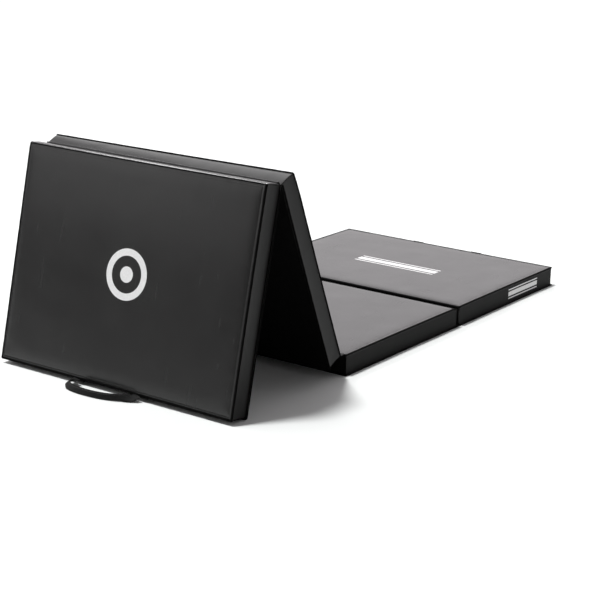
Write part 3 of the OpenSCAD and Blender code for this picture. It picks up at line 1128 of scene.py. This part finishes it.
def pile_of(name, y0, y1, z0, z1, hooked, seed):
    """Rows of bent stems: hooks bend over one way, loops come back down to the tape."""
    pitch, wide, sides = 1.9 * MM, 0.13 * MM, 4
    columns, rows = int((y1 - y0) / pitch), int((z1 - z0) / pitch)
    arc = HOOK_STEM if hooked else LOOP_STEM
    points, faces = [], []
    for c in range(columns):
        for r in range(rows):
            y = y0 + (c + 0.5 + 0.3 * (r % 2)) * (y1 - y0) / (columns + 0.3)
            z = z0 + (r + 0.5) * (z1 - z0) / rows
            spin = 0.3 * ripple(y, z, seed, 3 * MM) if hooked else 2.5 * ripple(y, z, seed, 2.2 * MM)
            start = len(points)
            for reach, high in arc:
                for s in range(sides):
                    angle = math.pi * (2 * s + 1) / sides
                    flat = reach * MM + wide * math.cos(angle)
                    side = wide * math.sin(angle)
                    points.append((-0.6 * MM - high * MM, y + flat * math.cos(spin) - side * math.sin(spin),
                                   z + flat * math.sin(spin) + side * math.cos(spin)))
            faces += rod_faces(len(arc), sides, start)
    return new_piece(name, pulled(points), faces, "pile")


# ---------------------------------------------------------------- build

for i in PANELS:
    foam_board(i)
    top_sheet(i)
    side_sheet(i)
    base_sheet(i)
    top_seam(i)
    base_flange(i)
    corner_seams(i)
    seam_stitches(i)
    zip_parts(i)
    for part in (f"zip_slider_{i}", f"zip_pull_{i}"):
        materials = frame["nodes"][part].data.materials
        materials.clear()
        materials.append(LOOK["metal"])
fold_strips()
handles()
end_strip("loop_strip", 1, "loop")
end_strip("hook_strip", 4, "hook")


# ---------------------------------------------------------------- floor, light and camera

def pale_floor():
    material = bpy.data.materials.new("floor")
    material.use_nodes = True
    tree = material.node_tree
    shader = tree.nodes["Principled BSDF"]
    shader.inputs["Base Color"].default_value = (0.88, 0.90, 0.89, 1)
    shader.inputs["Roughness"].default_value = 0.9
    shader.inputs["Specular IOR Level"].default_value = 0.1
    size = 45.0
    corners = [(-size, -size, 0), (size, -size, 0), (size, size, 0), (-size, size, 0)]
    mesh = bpy.data.meshes.new("floor")
    mesh.from_pydata(corners, [], [(0, 1, 2, 3)])
    mesh.materials.append(material)
    floor = bpy.data.objects.new("floor", mesh)
    bpy.context.scene.collection.objects.link(floor)


def studio_world():
    """A white room: brightest behind the mat at middle heights, dimmer at the horizon and overhead."""
    world = bpy.data.worlds.new("studio")
    world.use_nodes = True
    tree = world.node_tree
    sky = tree.nodes["Background"]
    direction = node(tree, "TexCoord", {}).outputs["Generated"]
    height = node(tree, "SeparateXYZ", {0: direction}).outputs[2]
    toward = placed(tree, "DOT_PRODUCT", direction, (0.82, 0.57, 0)).outputs["Value"]
    ceiling = between(tree, height, 1.25, 0.5, 0.35, 0.8, "SMOOTHSTEP")
    horizon = between(tree, height, 0.5, 1.0, 0.0, 0.22, "SMOOTHSTEP")
    backdrop = between(tree, toward, 0.2, 1.14, -0.2, 0.6)
    room = maths(tree, "MULTIPLY", maths(tree, "MULTIPLY", ceiling, horizon), backdrop)
    tree.links.new(room, sky.inputs["Strength"])
    sky.inputs["Color"].default_value = (1, 0.965, 0.985, 1)
    bpy.context.scene.world = world


def lamp(name, kind, toward, power):
    """A light that shines on the mat from a direction."""
    data = bpy.data.lights.new(name, kind)
    data.energy = power
    made = bpy.data.objects.new(name, data)
    made.rotation_euler = Vector(toward).to_track_quat("Z", "Y").to_euler()
    bpy.context.scene.collection.objects.link(made)
    return made


def overhead_light(toward, strength, spread):
    """A soft light from almost straight above the mat."""
    lamp("overhead", "SUN", toward, strength).data.angle = math.radians(spread)


def soft_box(name, toward, sides, power):
    """A rectangular light, 3 m away."""
    box = lamp(name, "AREA", toward, power)
    box.data.shape = "RECTANGLE"
    box.data.size, box.data.size_y = sides
    box.location = (cad_lo + cad_hi) / 2 + Vector(toward).normalized() * 3


# Each soft box's name, direction from the mat, sides in metres and power in watts
SOFT_BOXES = (("back_box", (0.40, 0.55, 0.73), (1.6, 1.6), 11),
              ("edge_box", (-0.25, 0.55, 0.80), (1.5, 0.35), 13),
              ("face_box", (-0.80, 0.55, 0.30), (1.1, 1.1), 4.5))

# The photograph's view: degrees, metres and the lens in mm, from a fit to the photograph's edges
CAMERA_AZIMUTH, CAMERA_ELEVATION, CAMERA_ROLL = -54.80, 16.22, 1.39
CAMERA_DISTANCE = 3.543
CAMERA_TARGET = Vector((-0.2043, -0.1441, 0.120))
CAMERA_LENS = 101.7


def photo_camera():
    a, e = math.radians(CAMERA_AZIMUTH), math.radians(CAMERA_ELEVATION)
    back = Vector((math.sin(a) * math.cos(e), -math.cos(a) * math.cos(e), math.sin(e)))
    data = bpy.data.cameras.new("camera")
    data.lens, data.sensor_width = CAMERA_LENS, 36
    data.clip_start, data.clip_end = 0.1, 100
    camera = bpy.data.objects.new("camera", data)
    camera.location = CAMERA_TARGET + back * CAMERA_DISTANCE
    camera.rotation_mode = "QUATERNION"
    level = (-back).to_track_quat("-Z", "Y")
    camera.rotation_quaternion = level @ Matrix.Rotation(math.radians(CAMERA_ROLL), 4, "Z").to_quaternion()
    bpy.context.scene.collection.objects.link(camera)
    bpy.context.scene.camera = camera


pale_floor()
studio_world()
overhead_light((-0.13, 0.23, 0.96), 2.6, 9)
for light, toward, sides, power in SOFT_BOXES:
    soft_box(light, toward, sides, power)
photo_camera()
bpy.context.scene.view_settings.view_transform = "Standard"
